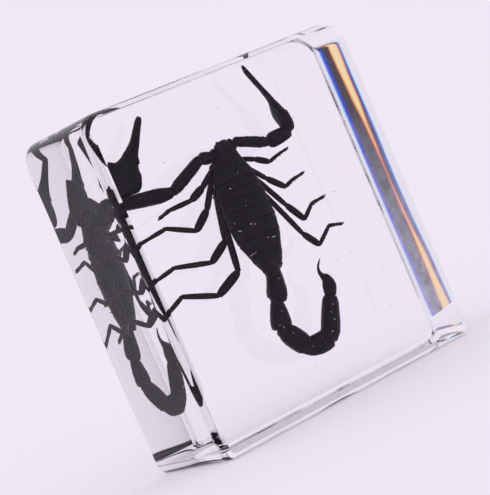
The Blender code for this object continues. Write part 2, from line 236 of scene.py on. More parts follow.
def plate_relief(share, angle, step, length):
    """A raised rear rim, a middle keel with one more at each side, and the soft fold along the flank."""
    side, up = cos(angle), sin(angle)
    back = max(up, 0)
    rim = 0.10 * np.exp(-((length - step - 0.35) / 0.22) ** 2)
    keel = 0.13 * np.exp(-(side / 0.05) ** 2) * share
    keels = 0.11 * np.exp(-((abs(side) - 0.42) / 0.05) ** 2) * share
    hollow = -0.06 * np.exp(-((length - step - 1.1) / 0.4) ** 2)
    fold = -0.34 * np.exp(-((up + 0.16) / 0.08) ** 2)
    return float(back * (rim + keel + keels + hollow) + fold + 0.5 * rim * (up <= 0))


shell = Armour()
shell.form([(body_middle(z), w, t) for z, w, t in HEAD_SHIELD], BACK_WAY, sides=150, gap=0.17,
           caps=(0.7, 0.3), square=2.25, relief=shield_relief, grain=0.085, grain_size=0.5,
           brown=(0.1, 0.0, 0.1))
rear_z, rear_width, rear_thick = HEAD_SHIELD[-1]
for z, width, thick in BACK_PLATES:
    middle_z = (rear_z + z) / 2
    stations = [
        (body_middle(rear_z + 0.55), rear_width * 0.93, rear_thick * 0.92),
        (body_middle(rear_z - 0.1), rear_width * 0.965, rear_thick * 0.96),
        (body_middle(middle_z), (rear_width * 0.97 + width) / 2, (rear_thick * 0.97 + thick) / 2),
        (body_middle(z + 0.2), width, thick),
        (body_middle(z), width * 0.995, thick * 0.99),
    ]
    shell.form(stations, BACK_WAY, sides=150, gap=0.17, caps=(0.3, 0.14), square=2.2, relief=plate_relief,
               grain=0.07, grain_size=0.46, brown=(0.0, 0.0, 0.12))
    rear_z, rear_width, rear_thick = z, width, thick
shell.piece("head_shield_and_plates", armour_black)

# ---- Eyes ---------------------------------------------------------------------------------------
# Two middle eyes on the mound of the head shield and three small ones at each front corner: smooth
# domes of clear chitin over black.
eye_black = chitin_finish("eye_black", (0.0015, 0.0014, 0.0018), (0.003, 0.003, 0.0035),
                          (0.01, 0.006, 0.004), 1500, 0.08)
SHIELD_HALF = (3.6, 2.75)  # half the shield's breadth and thickness where the eyes are
EYES = (  # x, z and radius
    (0.55, 55.35, 0.38), (1.45, 55.3, 0.38), (-1.5, 57.55, 0.2), (-1.75, 57.1, 0.2), (-1.95, 56.65, 0.18),
    (3.2, 57.4, 0.2), (3.45, 56.95, 0.2), (3.65, 56.5, 0.18))
eyes = Armour()
for x, z, radius in EYES:
    middle = body_middle(z)
    sideways = (x - middle.x) / SHIELD_HALF[0]
    depth = SHIELD_HALF[1] * sqrt(max(1 - sideways ** 2, 0.15)) + (0.2 if radius > 0.3 else -0.35)
    centre = Vector((x, middle.y - depth, z))
    eyes.form([(centre + BACK_WAY * radius * d, radius * 2, radius * 2) for d in (-1, -0.4, 0.4, 1)],
              Vector((0, 0, 1)), sides=16, gap=radius / 5, caps=(radius, radius), square=2, grain=0)
eyes.piece("eyes", eye_black)

# ---- Soft skin between the plates ---------------------------------------------------------------
# Folded skin joins the plates to each other and to the belly. It dried to a dull brown that shows
# as thin lines at the plates' rims and along both flanks.
soft_skin = chitin_finish("soft_skin", (0.020, 0.013, 0.010), (0.060, 0.040, 0.030),
                          (0.22, 0.16, 0.12), 2400, 0.5)
skin = Armour()
skin.form([(body_middle(z), w * 0.93, t * 0.93) for z, w, t in HEAD_SHIELD[1:] + BACK_PLATES], BACK_WAY,
          sides=64, gap=0.3, caps=(0.8, 0.8), grain=0.03, grain_size=0.8)
skin.piece("soft_skin_of_body", soft_skin)

# ---- Tail ---------------------------------------------------------------------------------------
# Five ringed segments: stout tubes with granular keels, narrow in front where each plugs into the one
# before, and flared at the rear rim. Folded skin, dried as dark as they are, joins them. The tail
# curls to the right, towards the front.
TAIL = (  # front end, middle, rear end, and eight widths along the segment
    ((-0.6, 2.4, 30.6), (-1.9, 1.9, 26.4), (-3.1, 1.9, 24.1), (3.1, 3.5, 3.8, 4.3, 4.85, 4.7, 4.2, 3.4)),
    ((-3.1, 1.9, 24.1), (-3.8, 2.3, 20.6), (-4.3, 2.6, 18.0), (2.7, 2.95, 3.5, 4.2, 4.8, 4.95, 4.5, 3.6)),
    ((-4.3, 2.6, 18.0), (-2.1, 3.1, 15.4), (0.3, 3.8, 12.5), (3.1, 3.4, 4.0, 4.6, 4.85, 4.8, 4.4, 3.6)),
    ((0.3, 3.8, 12.5), (3.8, 4.1, 11.8), (7.1, 4.4, 12.1), (3.4, 3.8, 4.2, 4.6, 4.8, 4.75, 4.45, 3.8)),
    ((7.1, 4.4, 12.1), (9.2, 4.6, 15.5), (11.6, 4.7, 20.2), (3.7, 4.15, 4.5, 4.65, 4.5, 4.15, 3.7, 3.0)),
)
WIDTHS_AT = (-0.1, 0.03, 0.15, 0.35, 0.6, 0.8, 0.93, 1.0)  # where they lie, as shares of its length
TOWARDS_FRONT = Vector((0, -1, 0))


def bow(start, middle, end, share):
    """A point on the smooth curve through three points, the middle one at 0.55."""
    a, b, c = Vector(start), Vector(middle), Vector(end)
    return (a * ((share - 0.55) * (share - 1) / 0.55) + b * (share * (share - 1) / (0.55 * -0.45))
            + c * (share * (share - 0.55) / 0.45))


def keeled(count, height, tooth, sharp=0.10):
    """Relief of lengthwise keels, each a row of small blunt teeth that fade at both ends."""
    def relief(share, angle, step, length):
        ridge = 0.0
        for k in range(count):
            gap = (angle - 2 * pi * (k + 0.5) / count + pi) % (2 * pi) - pi
            ridge += np.exp(-(gap / sharp) ** 2)
        teeth = 0.65 + 0.35 * cos(2 * pi * step / tooth)
        ends = min(1, 6 * share, 8 * (1 - share))
        return float(height * ridge * teeth * max(ends, 0))
    return relief


tail = Armour()
for start, middle, end, widths in TAIL:
    stations = [(bow(start, middle, end, share), width * 0.95, width * 0.88)
                for share, width in zip(WIDTHS_AT, widths)]
    tail.form(stations, TOWARDS_FRONT, sides=88, gap=0.16, caps=(0.5, 0.45), square=2.2,
              relief=keeled(8, 0.20, 0.55), grain=0.09, grain_size=0.45, brown=(0.25, 0.0, 0.2))
tail.piece("tail_segments", armour_black)

joints = Armour()
for start, middle, end, widths in TAIL:
    front = widths[1]
    here = bow(start, middle, end, -0.04)
    there = bow(start, middle, end, 0.12)
    way = (there - here).normalized()
    joints.form([(here - way * 0.7, front * 0.84, front * 0.78), (here, front * 0.96, front * 0.88),
                 (here + way * 0.7, front * 0.92, front * 0.86)], TOWARDS_FRONT, sides=48, gap=0.2,
                caps=(0.3, 0.3), relief=keeled(22, 0.05, 9.0, 0.05), grain=0.02, brown=(0.5, 0.25, 0.5))
joints.piece("tail_joint_skin", armour_black)

# ---- Sting --------------------------------------------------------------------------------------
# The last part of the tail: a swollen poison bulb and a curved hollow spine, smooth, and browner
# towards its needle point.
BULB = (  # a place on the middle line, breadth and thickness
    ((11.6, 4.7, 19.8), 2.7, 2.5), ((11.95, 4.7, 20.8), 3.1, 3.0), ((12.35, 4.6, 22.2), 3.4, 3.2),
    ((12.15, 4.5, 23.7), 2.4, 2.3), ((11.5, 4.4, 24.7), 1.25, 1.2), ((11.15, 4.3, 25.7), 0.78, 0.75),
    ((11.4, 4.2, 26.8), 0.5, 0.5), ((11.95, 4.05, 27.6), 0.34, 0.34), ((12.65, 3.9, 28.3), 0.16, 0.16))
sting = Armour()
sting.form([(Vector(c), b, t) for c, b, t in BULB], TOWARDS_FRONT, sides=56, gap=0.12, caps=(0.5, 0.15),
           square=2.05, relief=keeled(5, 0.05, 0.6, 0.2), grain=0.045, grain_size=0.5, brown=(0.15, 0.0, 0.5))
sting.piece("sting", armour_black)

# ---- Arms ---------------------------------------------------------------------------------------
# The two pincer arms: a short knuckle at the head, then two stout box-like parts with toothed keels
# that swell between their joints.
ARMS = (  # root, shoulder, elbow, wrist, and the widths of the knuckle, the first and the second part
    ((1.2, 5.6, 57.2), (4.2, 4.9, 58.8), (11.9, 3.2, 55.8), (18.7, 4.4, 56.2), 2.6, 2.15, 3.15),
    ((0.2, 5.8, 57.0), (-5.2, 5.5, 58.2), (-14.7, 5.9, 54.0), (-29.5, 7.5, 56.2), 2.6, 2.4, 2.95),
)


def limb_part(piece, start, end, widths, flat=0.88, over=0.25, **looks):
    """One part of a limb, from joint to joint, with its widths spread along it."""
    a, b = Vector(start), Vector(end)
    way = (b - a).normalized()
    a, b = a - way * over, b + way * over
    stations = [(a.lerp(b, i / (len(widths) - 1)), w, w * flat) for i, w in enumerate(widths)]
    piece.form(stations, TOWARDS_FRONT, **looks)


arms = Armour()
for root, shoulder, elbow, wrist, knuckle_width, first_width, second_width in ARMS:
    half_way = [Vector(root).lerp(Vector(shoulder), share) for share in (0.5, 0.55)]
    limb_part(arms, root, half_way[1], [knuckle_width * w for w in (0.8, 1, 0.9)], sides=48,
              caps=(0.6, 0.6), grain=0.2, grain_size=0.7, brown=(0.5, 0.2, 0.3))
    limb_part(arms, half_way[0], shoulder, [knuckle_width * w for w in (0.82, 1.02, 0.85)], sides=48,
              caps=(0.5, 0.7), relief=keeled(5, 0.22, 0.7, 0.16), grain=0.16, grain_size=0.6,
              brown=(0.4, 0.1, 0.2))
    limb_part(arms, shoulder, elbow, [first_width * w for w in (0.8, 0.97, 1, 1.03, 1.0, 0.8)], sides=56,
              caps=(0.5, 0.6), square=2.6, relief=keeled(5, 0.16, 0.62, 0.15), grain=0.22, grain_size=0.55,
              brown=(0.2, 0.0, 0.1))
    limb_part(arms, elbow, wrist, [second_width * w for w in (0.66, 1.02, 1.04, 0.98, 0.86, 0.62)], sides=60,
              caps=(0.6, 0.6), square=2.5, relief=keeled(5, 0.18, 0.75, 0.13), grain=0.1, grain_size=0.5,
              brown=(0.15, 0.0, 0.1))
arms.piece("arms", armour_black)

# ---- Pincers ------------------------------------------------------------------------------------
# Each arm ends in a flat swollen hand with two slender fingers that close on each other: one grows
# from the hand, and the other swings beside it. The left hand shows its broad side, the right its edge.
LEFT_HAND = (  # places on the middle line, breadths and thicknesses, as in the tables below
    ((-29.8, 7.5, 56.8), 3.0, 2.4), ((-27.1, 7.4, 59.2), 5.6, 3.3), ((-24.9, 7.3, 60.4), 7.9, 3.6),
    ((-23.3, 7.2, 61.2), 9.0, 3.6), ((-22.5, 7.1, 61.8), 7.5, 3.4), ((-21.75, 7.1, 62.6), 5.4, 3.1),
    ((-21.05, 7.1, 63.4), 4.2, 2.8), ((-20.35, 7.15, 64.3), 3.4, 2.4), ((-19.5, 7.3, 65.3), 2.6, 2.0))
LEFT_FINGER = (
    ((-20.6, 7.1, 62.8), 3.7, 2.6), ((-20.0, 7.2, 64.3), 3.2, 2.4), ((-17.95, 7.6, 66.5), 2.2, 1.9),
    ((-15.55, 8.4, 69.3), 1.65, 1.4), ((-14.3, 8.8, 70.7), 1.4, 1.1), ((-13.6, 9.0, 71.4), 0.9, 0.7))
RIGHT_HAND = (
    ((18.7, 4.4, 56.0), 2.8, 2.6), ((18.9, 4.6, 57.4), 4.3, 3.1), ((18.75, 4.8, 59.1), 6.1, 2.9),
    ((18.4, 5.0, 60.6), 6.9, 2.6), ((18.1, 4.8, 61.8), 6.0, 2.1), ((17.75, 4.5, 63.0), 4.2, 1.7),
    ((17.3, 4.3, 64.0), 2.8, 1.3))
RIGHT_FINGER = (
    ((17.7, 4.5, 63.0), 3.3, 1.4), ((17.3, 4.3, 64.2), 2.8, 1.2), ((16.35, 4.1, 66.5), 2.1, 1.0),
    ((15.0, 4.0, 69.6), 1.7, 1.05), ((14.1, 4.0, 71.9), 1.35, 1.0), ((13.8, 4.1, 73.3), 0.6, 0.5))


def finger_pair(piece, stations, flat_to):
    """The two closed fingers, side by side along the breadth, with granular teeth where they meet."""
    way = (Vector(stations[-1][0]) - Vector(stations[0][0])).normalized()
    sideways = way.cross(flat_to).normalized()
    for side in (-1, 1):
        half = [(Vector(c) + sideways * side * b * 0.235, b * 0.56, t * 0.94) for c, b, t in stations]
        piece.form(half, flat_to, sides=40, gap=0.13, caps=(0.4, 0.6), square=2.0,
                   relief=keeled(4, 0.06, 0.36, 0.2), grain=0.04, grain_size=0.35, brown=(0.1, 0.0, 0.45))


pincers = Armour()
for hand, fingers, flat_to, sides in ((LEFT_HAND, LEFT_FINGER, TOWARDS_FRONT, 96),
                                      (RIGHT_HAND, RIGHT_FINGER, Vector((1, 0, 0)), 84)):
    pincers.form([(Vector(c), b, t) for c, b, t in hand], flat_to, sides=sides, gap=0.15, caps=(0.9, 0.8),
                 relief=keeled(10, 0.10, 0.5, 0.09), grain=0.08, grain_size=0.5, brown=(0.3, 0.0, 0.0))
    finger_pair(pincers, fingers, flat_to)
pincers.piece("pincers", armour_black)

# ---- Mouth pincers ------------------------------------------------------------------------------
# Under the front edge of the shield two short jaws stand side by side: swollen bases with a pair of
# small toothed hooks each, bumpy and rough.
LUMPS = ((-1.75, 58.5, 1.1), (-2.5, 58.2, 0.8), (-3.1, 58.7, 0.45), (-3.4, 57.9, 0.45), (0.9, 59.3, 1.2),
         (2.6, 58.9, 1.0))  # x, z and size
jaws = Armour()
for side, x in ((-1, 0.15), (1, 1.65)):
    jaws.form([(Vector((x - side * 0.1, 5.0, 56.6)), 2.5, 2.6), (Vector((x, 4.8, 58.0)), 2.7, 2.9),
               (Vector((x - side * 0.05, 4.75, 59.1)), 2.4, 2.6),
               (Vector((x - side * 0.15, 4.7, 59.8)), 1.6, 1.8)],
              BACK_WAY, sides=48, gap=0.14, caps=(0.5, 0.7), grain=0.16, grain_size=0.7,
              brown=(0.1, 0.1, 0.4))
    for lean, rise in ((-0.35, 0.45), (0.35, 0.3)):
        jaws.form([(Vector((x + lean, 4.5, 59.0)), 0.9, 0.9), (Vector((x + lean, 4.4, 59.7)), 0.75, 0.7),
                   (Vector((x + lean * 0.5, 4.3, 59.9 + rise * 0.6)), 0.3, 0.3)],
                  BACK_WAY, sides=20, gap=0.1, caps=(0.2, 0.15), grain=0.03, brown=(0.2, 0.3, 0.8))
for x, z, size in LUMPS:
    jaws.form([(Vector((x, 5.1, z - size * 0.6)), size, size), (Vector((x, 5.0, z)), size * 1.3, size * 1.3),
               (Vector((x + 0.05, 4.9, z + size * 0.6)), size * 0.7, size * 0.7)],
              BACK_WAY, sides=20, gap=0.12, caps=(0.3, 0.3), grain=0.12, grain_size=0.4,
              brown=(0.2, 0.2, 0.2))
jaws.piece("mouth_pincers", armour_black)

# ---- Legs ---------------------------------------------------------------------------------------
# Eight legs. Each has a wedge-shaped hip plate on the breast, a knuckle, a long thigh, a swollen
# knee part, a thin shin with a spur and a two-part foot with a pair of claws.
SLENDER = 0.93  # scales every width of the legs
LEGS = (  # hip, knuckle, knee, end of the knee part, ankle, toe, and how stout the leg is
    ((1.5, 7.9, 55.6), (4.4, 5.6, 54.8), (7.5, 5.0, 53.6),
     (10.5, 4.0, 51.8), (13.0, 3.5, 52.5), (15.6, 3.0, 52.9), 0.75),
    ((1.5, 8.1, 54.0), (5.0, 5.9, 52.8), (8.0, 4.2, 48.8),
     (11.3, 3.0, 45.5), (13.6, 2.5, 46.3), (16.6, 2.0, 46.7), 0.8),
    ((1.5, 8.2, 52.3), (5.8, 6.0, 50.3), (9.6, 3.2, 41.9),
     (12.4, 2.5, 37.4), (15.4, 1.7, 39.9), (18.8, 1.0, 40.2), 0.85),
    ((1.5, 8.2, 50.7), (6.2, 5.8, 46.7), (10.7, 3.2, 34.7),
     (13.6, 3.0, 31.0), (17.2, 1.3, 34.0), (20.0, 0.0, 33.2), 0.85),
    ((-0.4, 7.9, 55.6), (-3.2, 6.5, 54.9), (-6.8, 7.0, 52.5),
     (-10.5, 7.5, 50.9), (-16.4, 8.0, 50.8), (-19.4, 8.0, 50.1), 0.95),
    ((-0.4, 8.1, 54.0), (-3.8, 7.8, 52.9), (-7.6, 8.3, 47.7),
     (-12.2, 8.0, 44.6), (-18.4, 9.5, 47.6), (-27.0, 11.0, 46.6), 1.0),
    ((-0.4, 8.2, 52.3), (-4.4, 7.5, 49.7), (-6.6, 7.9, 40.1),
     (-12.0, 7.5, 37.2), (-20.4, 9.2, 39.4), (-29.0, 11.0, 37.8), 1.0),
    ((-0.4, 8.2, 50.7), (-4.8, 7.3, 46.9), (-6.8, 7.4, 33.1),
     (-13.0, 9.3, 30.2), (-21.0, 10.5, 33.2), (-29.5, 11.4, 29.6), 1.1),
)
legs = Armour()
for hip, knuckle, knee, shin, ankle, toe, stout in LEGS:
    stout *= SLENDER
    fine = dict(gap=0.16, grain=0.05, grain_size=0.36)
    limb_part(legs, hip, knuckle, [w * stout for w in (1.8, 2.5, 2.6, 2.0)], sides=36, caps=(0.6, 0.6),
              brown=(0.2, 0.3, 0.6), **fine)
    hub = Vector(knuckle).lerp(Vector(knee), 0.02)
    limb_part(legs, hub - Vector((0, 0, 0.3)), hub + Vector((0, 0, 0.3)),
              [w * stout for w in (1.6, 2.0, 1.7)], sides=28, caps=(0.6, 0.6), brown=(0.7, 0.5, 0.7), **fine)
    limb_part(legs, knuckle, knee, [w * stout for w in (1.2, 1.5, 1.6, 1.6, 1.6, 1.25)], sides=34,
              caps=(0.4, 0.5), relief=keeled(4, 0.06, 0.35, 0.2), brown=(0.6, 0.0, 0.2), **fine)
    limb_part(legs, knee, shin, [w * stout for w in (1.2, 1.9, 2.05, 2.0, 1.85, 1.2)], sides=36,
              caps=(0.4, 0.5), relief=keeled(4, 0.06, 0.35, 0.2), brown=(0.4, 0.0, 0.3), **fine)
    limb_part(legs, shin, ankle, [w * stout for w in (1.0, 1.25, 1.25, 1.15, 0.95)], sides=28,
              caps=(0.35, 0.35), brown=(0.4, 0.1, 0.4), **fine)
    a, b = Vector(ankle), Vector(toe)
    middle = a.lerp(b, 0.52)
    limb_part(legs, a, middle, [w * stout for w in (0.8, 1.05, 1.0, 0.8)], sides=24, caps=(0.25, 0.25),
              brown=(0.5, 0.2, 0.5), **fine)
    limb_part(legs, middle, b, [w * stout for w in (0.75, 0.9, 0.95, 0.85)], sides=22, caps=(0.25, 0.3),
              brown=(0.5, 0.4, 0.9), **fine)
    way = (b - a).normalized()
    sideways = way.cross(TOWARDS_FRONT).normalized()
    spur = a - way * 0.1
    legs.form([(spur, 0.3, 0.3), (spur + sideways * 0.4 + way * 0.3, 0.2, 0.2),
               (spur + sideways * 0.6 + way * 0.7, 0.08, 0.08)],
              TOWARDS_FRONT, sides=10, gap=0.12, caps=(0.1, 0.06), grain=0, brown=(0.4, 0.4, 0.8))
    for side in (-1, 1):
        split = TOWARDS_FRONT * side * 0.18
        legs.form([(b, 0.3, 0.3), (b + way * 0.3 + split - sideways * 0.05, 0.26, 0.26),
                   (b + way * 0.45 + split * 1.5 - sideways * 0.2, 0.16, 0.16),
                   (b + way * 0.42 + split * 1.6 - sideways * 0.42, 0.06, 0.06)],
                  sideways, sides=10, gap=0.1, caps=(0.1, 0.05), grain=0, brown=(0.5, 0.6, 1.0))
legs.piece("legs", armour_black)

# ---- Breast and combs ---------------------------------------------------------------------------
# On the underside, between the legs: a small breast plate, two lids, and the two combs, jointed rods
# with a row of soft teeth that only scorpions have. Four pairs of slits on the belly lead to the lungs.
def grower(name, spread, shape, numbers):
    """A node group that stands copies of one small solid on its input's faces, line or points."""
    group = bpy.data.node_groups.new(name, "GeometryNodeTree")
    group.interface.new_socket("Geometry", in_out="OUTPUT", socket_type="NodeSocketGeometry")
    for label, kind in (("Geometry", "Geometry"), ("Density", "Float"), ("Count", "Int"),
                        ("Smallest", "Vector"), ("Largest", "Vector"), ("Lean", "Vector"),
                        ("Way", "Vector"), ("Seed", "Int"), ("Material", "Material")):
        group.interface.new_socket(label, in_out="INPUT", socket_type="NodeSocket" + kind)
    nodes, link = group.nodes, group.links.new
    given, done = nodes.new("NodeGroupInput").outputs, nodes.new("NodeGroupOutput")
    solid = dialled(nodes.new(shape), numbers)
    smooth = nodes.new("GeometryNodeSetShadeSmooth")
    sizes = nodes.new("FunctionNodeRandomValue")
    sizes.data_type = "FLOAT_VECTOR"
    tips = nodes.new("FunctionNodeRandomValue")
    tips.data_type = "FLOAT_VECTOR"
    tips.inputs[0].default_value = (-1, -1, -1)
    tips.inputs[1].default_value = (1, 1, 1)
    tilt = nodes.new("ShaderNodeVectorMath")
    tilt.operation = "MULTIPLY"
    turn = nodes.new("FunctionNodeEulerToRotation")
    facing = nodes.new("FunctionNodeRotateRotation")
    facing.rotation_space = "LOCAL"
    copies = nodes.new("GeometryNodeInstanceOnPoints")
    real = nodes.new("GeometryNodeRealizeInstances")
    finish = nodes.new("GeometryNodeSetMaterial")
    if spread == "faces":
        points = nodes.new("GeometryNodeDistributePointsOnFaces")
        link(given["Geometry"], points.inputs["Mesh"])
        link(given["Density"], points.inputs["Density"])
        link(given["Seed"], points.inputs["Seed"])
        link(points.outputs["Points"], copies.inputs["Points"])
        link(points.outputs["Rotation"], facing.inputs["Rotation"])
    else:
        aim = nodes.new("FunctionNodeAlignRotationToVector")
        aim.axis = "Z"
        link(given["Way"], aim.inputs["Vector"])
        link(aim.outputs["Rotation"], facing.inputs["Rotation"])
        if spread == "line":
            line = nodes.new("GeometryNodeMeshToCurve")
            points = nodes.new("GeometryNodeCurveToPoints")
            link(given["Geometry"], line.inputs["Mesh"])
            link(line.outputs["Curve"], points.inputs["Curve"])
            link(given["Count"], points.inputs["Count"])
            link(points.outputs["Points"], copies.inputs["Points"])
        else:
            link(given["Geometry"], copies.inputs["Points"])
    link(given["Smallest"], sizes.inputs[0])
    link(given["Largest"], sizes.inputs[1])
    link(given["Seed"], sizes.inputs["Seed"])
    link(given["Seed"], tips.inputs["Seed"])
    link(tips.outputs[0], tilt.inputs[0])
    link(given["Lean"], tilt.inputs[1])
    link(tilt.outputs["Vector"], turn.inputs["Euler"])
    link(turn.outputs["Rotation"], facing.inputs["Rotate By"])
    link(solid.outputs["Mesh"], smooth.inputs["Geometry"])
    link(smooth.outputs["Geometry"], copies.inputs["Instance"])
    link(facing.outputs["Rotation"], copies.inputs["Rotation"])
    link(sizes.outputs[0], copies.inputs["Scale"])
    link(copies.outputs["Instances"], real.inputs["Geometry"])
    link(real.outputs["Geometry"], finish.inputs["Geometry"])
    link(given["Material"], finish.inputs["Material"])
    link(finish.outputs["Geometry"], done.inputs["Geometry"])
    return group


def grown(name, group, source, slot="chitin", nodes=("scorpion",), **values):
    """The plain mesh that the node group makes of a source mesh; the modifier goes with its holder."""
    holder = bpy.data.objects.new(name + "_source", source)
    modifier = holder.modifiers.new("grow", "NODES")
    modifier.node_group = group
    for socket in group.interface.items_tree:
        if socket.in_out == "INPUT" and socket.name in values:
            modifier[socket.identifier] = values[socket.name]
    bpy.context.scene.collection.objects.link(holder)
    mesh = bpy.data.meshes.new_from_object(holder.evaluated_get(bpy.context.evaluated_depsgraph_get()))
    bpy.data.objects.remove(holder)
    return carried(bpy.data.objects.new(name, mesh), nodes)


BELLY_WAY = -BACK_WAY
BREAST_PLATES = (  # height, depth behind the body's middle, breadth, thickness and length
    (54.4, 2.9, 1.5, 1.0, 1.6), (52.4, 3.1, 1.1, 0.9, 1.1), (51.2, 3.3, 2.4, 1.0, 1.3))
SLITS = ((46.6, 3.3), (43.4, 3.7), (40.2, 3.5), (36.8, 2.7))  # height, and distance from the middle
breast = Armour()
for z, depth, width, thick, long in BREAST_PLATES:
    middle = body_middle(z) + BELLY_WAY * depth
    breast.form([(middle + Vector((0, 0, long / 2 * k)), width * w, thick * w)
                 for k, w in ((1, 0.7), (0.4, 1), (-0.4, 1), (-1, 0.6))],
                BELLY_WAY, sides=32, gap=0.12, caps=(0.3, 0.3), grain=0.04, brown=(0.3, 0.2, 0.4))
COMBS = [[body_middle(50.9 - 0.42 * k) + BELLY_WAY * (3.75 + 0.05 * k)
          + Vector((side * (0.9 + 0.82 * k), 0, 0.035 * k * k)) for k in range(6)] for side in (-1, 1)]
for comb in COMBS:
    for shift, width in ((0.0, 0.55), (-0.42, 0.42)):
        breast.form([(point + Vector((0, 0, shift)), width, 0.45) for point in comb], BELLY_WAY, sides=18,
                    gap=0.14, caps=(0.2, 0.25), relief=keeled(1, 0.04, 0.7, 0.8), grain=0,
                    brown=(0.5, 0.4, 0.7))
for z, gap in SLITS:
    for side in (-1, 1):
        depth = 4.02 - 0.30 * (z < 38)
        middle = (body_middle(z) + BELLY_WAY * depth * sqrt(1 - (side * gap / 5.9) ** 2)
                  + Vector((side * gap, 0, 0)))
        breast.form([(middle + Vector((0.5 * k, side * k * 0.2, 0.22 * side * k)), w, 0.3)
                     for k, w in ((-1, 0.14), (0, 0.3), (1, 0.14))],
                    BELLY_WAY, sides=16, gap=0.1, caps=(0.2, 0.2), grain=0, brown=(0.9, 0.9, 0.9))
breast.piece("breast_plate_and_combs", armour_black)

tooth = grower("comb_teeth", "line", "GeometryNodeMeshIcoSphere", {"Radius": MM, "Subdivisions": 2})
for side, comb in zip(("left", "right"), COMBS):
    line = bpy.data.meshes.new("comb_line")
    line.from_pydata([tuple((point + Vector((0, 0, -0.95))) * MM) for point in comb],
                     [(k, k + 1) for k in range(5)], [])
    grown("comb_teeth_" + side, tooth, line, Count=17, Smallest=(0.11, 0.14, 0.42), Largest=(0.12, 0.16, 0.5),
          Lean=(0.05, 0.12, 0.0), Way=(0, 0, -1), Seed=4, Material=soft_skin)

# ---- Granules and hairs -------------------------------------------------------------------------
# Hard little grains stud the armour, half sunk in it and at random sizes, and stiff short hairs
# stand on the hands, tail and feet. Both are grown on the faces of the pieces above.
grains = grower("granules", "faces", "GeometryNodeMeshIcoSphere", {"Radius": MM, "Subdivisions": 1})
hairs = grower("hairs", "faces", "GeometryNodeMeshCone", {
    "Vertices": 4, "Side Segments": 1, "Fill Segments": 1, "Radius Top": 0.000003, "Radius Bottom": 0.000026,
    "Depth": MM})
for name, density, large in (("head_shield_and_plates", 0.9e6, 0.17), ("tail_segments", 1.5e6, 0.15),
                             ("arms", 2.0e6, 0.17), ("pincers", 1.1e6, 0.12), ("mouth_pincers", 2.0e6, 0.19)):
    grown("granules_on_" + name, grains, bpy.data.objects[name].data, Density=density,
          Smallest=(0.05, 0.05, 0.05), Largest=(large, large, large), Lean=(0.0, 0.0, 0.0), Seed=11,
          Material=armour_black)
bristle = chitin_finish("bristle", (0.012, 0.008, 0.006), (0.035, 0.022, 0.014), (0.05, 0.03, 0.02),
                        2000, 0.3)
for name, density in (("pincers", 1.1e5), ("legs", 3.2e5), ("tail_segments", 0.7e5), ("sting", 5e5)):
    grown("hairs_on_" + name, hairs, bpy.data.objects[name].data, Density=density, Smallest=(0.7, 0.7, 0.25),
          Largest=(1.2, 1.2, 0.8), Lean=(0.5, 0.5, 0.0), Seed=23, Material=bristle)

# ---- Air films and painted glints ---------------------------------------------------------------
# Where the resin shrank from a rim or a grain, a thin film of air stays in between. Its glint is painted:
# small pale flecks on the back and the tail, and hairlines along the plates' rims, whose white colour is a
# painted highlight in place of the light that the air films mirror.
# A pale colour that paints the air films' glint as a highlight.
painted_glint_white = chitin_finish("painted_glint_film", (0.35, 0.33, 0.36), (0.75, 0.72, 0.76), (0.5, 0.42, 0.34), 5000, 0.2)
BACK_GLINT_FLECKS = (  # x, z and size
    (-2.75, 49.9, 0.30), (-5.1, 42.85, 0.2), (-2.05, 41.35, 0.34), (-1.15, 41.0, 0.28), (-1.2, 45.3, 0.16),
    (0.6, 37.25, 0.24), (-3.5, 35.35, 0.28), (0.7, 52.4, 0.18), (1.35, 53.85, 0.18), (3.65, 51.1, 0.16),
    (2.2, 43.0, 0.14))
TAIL_GLINT_FLECKS = (
    (10.4, 18.2, 0.26), (9.2, 16.8, 0.22), (9.2, 15.1, 0.26), (7.4, 13.0, 0.3), (-5.3, 19.35, 0.24),
    (-4.7, 18.6, 0.28), (-1.1, 28.4, 0.2), (0.9, 12.0, 0.18), (-2.9, 16.6, 0.2), (4.3, 12.9, 0.16),
    (11.3, 22.6, 0.2), (-3.6, 21.9, 0.18))
BACK_SQUARE, BACK_SLOPE = 2.2, 0.09  # how square the back's section is, and its fall to the right
TAIL_HALF = 0.46  # half a tail segment's thickness, as a share of its width
GLINT_HAIRLINES = (  # x and z of the points of each
    ((1.5, 36.95), (2.6, 36.85), (4.15, 36.95)), ((-4.75, 35.15), (-4.3, 35.2), (-3.9, 35.35)),
    ((-5.2, 41.05), (-4.95, 40.9), (-4.5, 40.75)))


def on_back(x, z, lift=0.06):
    """The point this far outside the back's surface at these two measures."""
    middle = body_middle(z)
    rows = np.array(HEAD_SHIELD + BACK_PLATES)
    width, thick = (np.interp(-z, -rows[:, 0], rows[:, k]) for k in (1, 2))
    sideways = min(abs((x - middle.x) / (width / 2)), 0.97)
    depth = thick / 2 * (1 - sideways ** BACK_SQUARE) ** (1 / BACK_SQUARE) + lift
    return Vector((x, middle.y - depth + (x - middle.x) * BACK_SLOPE, z))


def on_tail(x, z):
    """The point just outside the nearest tail segment's surface at these two measures."""
    along_tail = ((bow(start, middle, end, k / 20), widths[4])
                  for start, middle, end, widths in TAIL for k in range(21))
    place, width = min(along_tail, key=lambda pair: (pair[0].x - x) ** 2 + (pair[0].z - z) ** 2)
    aside = min(sqrt((place.x - x) ** 2 + (place.z - z) ** 2) / (width / 2), 0.9)
    return Vector((x, place.y - TAIL_HALF * width * sqrt(1 - aside ** 2) - 0.1, z))
